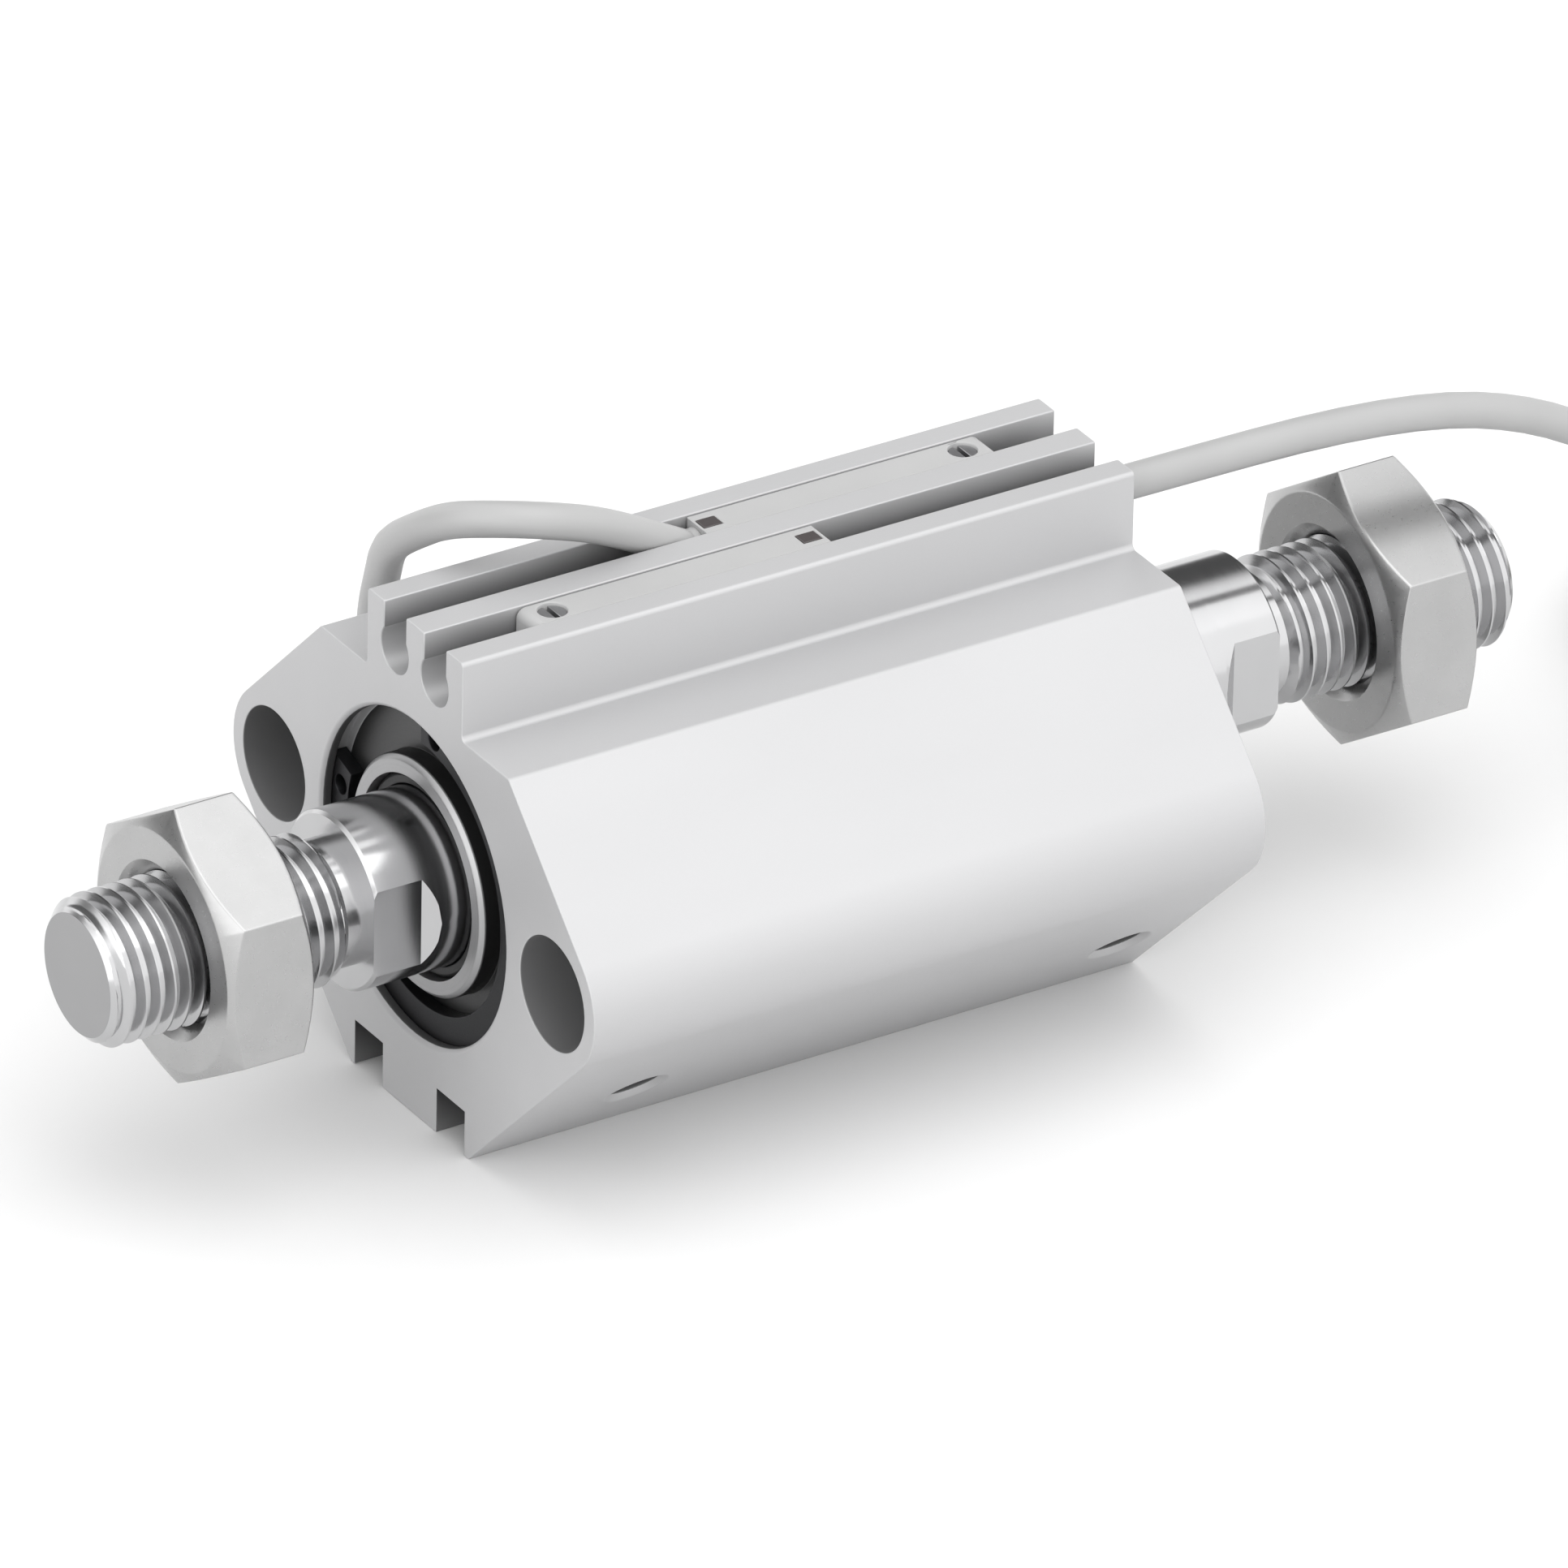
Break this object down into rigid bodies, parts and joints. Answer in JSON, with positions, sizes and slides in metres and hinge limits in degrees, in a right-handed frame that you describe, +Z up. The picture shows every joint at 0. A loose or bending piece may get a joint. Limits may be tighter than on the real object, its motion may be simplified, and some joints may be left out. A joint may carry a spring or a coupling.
{
  "type": "double rod compact cylinder",
  "caption": "Compact air cylinder with a through piston rod: extruded rhombic body, switch rail, ringed end covers, threaded rod ends with hex nuts, and position switches with leads.",
  "frame": {"origin": "centre of the front end face, on the rod axis", "axes": "+X along the rod to the rear end, +Z up through the switch rail, +Y away from the ports"},
  "size_m": [0.1813, 0.0792, 0.0475],
  "materials": {
    "anodised_tube": "clear anodised, fine matt",
    "anodised_cover": "turned and anodised",
    "piston_aluminium": "turned",
    "hard_chrome": "ground and hard chrome plated",
    "plated_nut": "zinc plated, satin",
    "spring_steel": "phosphated spring steel",
    "seal_rubber": "moulded nitrile",
    "bumper_urethane": "moulded polyurethane",
    "bush_bronze": "sintered bronze",
    "magnet_ferrite": "bonded ferrite",
    "wear_resin": "machined resin",
    "switch_housing": "moulded, light grey",
    "switch_screw": "stainless",
    "lamp_window": "smoked, unlit",
    "lead_jacket": "extruded vinyl, light grey",
    "tie_nylon": "moulded nylon",
    "core_insulation": "extruded vinyl"
  },
  "bodies": {
    "cylinder": {"cylinder_tube": "anodised_tube", "front_rod_cover": "anodised_cover", "front_cover_o_ring": "seal_rubber", "front_retaining_ring": "spring_steel", "front_rod_bush": "bush_bronze", "front_rod_seal": "seal_rubber", "front_bumper": "bumper_urethane", "rear_rod_cover": "anodised_cover", "rear_cover_o_ring": "seal_rubber", "rear_retaining_ring": "spring_steel", "rear_rod_bush": "bush_bronze", "rear_rod_seal": "seal_rubber", "rear_bumper": "bumper_urethane", "near_switch_case": "switch_housing", "near_switch_screw": "switch_screw", "near_switch_lens": "lamp_window", "near_lead_grommet": "lead_jacket", "near_lead": "lead_jacket", "near_lead_coil": "lead_jacket", "near_lead_tie": "tie_nylon", "near_lead_cores": "core_insulation", "far_switch_case": "switch_housing", "far_switch_screw": "switch_screw", "far_switch_lens": "lamp_window", "far_lead_grommet": "lead_jacket", "far_lead": "lead_jacket", "far_lead_coil": "lead_jacket", "far_lead_tie": "tie_nylon", "far_lead_cores": "core_insulation"},
    "piston_rings": {"wear_ring": "wear_resin", "piston_seal": "seal_rubber"},
    "rod": {"front_piston_half": "piston_aluminium", "rear_piston_half": "piston_aluminium", "magnet_ring": "magnet_ferrite", "rod_gasket": "seal_rubber", "front_piston_rod": "hard_chrome", "rear_piston_rod": "hard_chrome", "front_rod_nut": "plated_nut", "rear_rod_nut": "plated_nut"}
  },
  "joints": [
    {"name": "rod_slide", "type": "slide", "parent": "cylinder", "child": "piston_rings", "axis": [1, 0, 0], "range_m": [-0.0086, 0.0014]},
    {"name": "rod_turn", "type": "hinge", "parent": "piston_rings", "child": "rod", "pos_m": [0.0331, 0, 0], "axis": [1, 0, 0], "continuous": true}
  ]
}
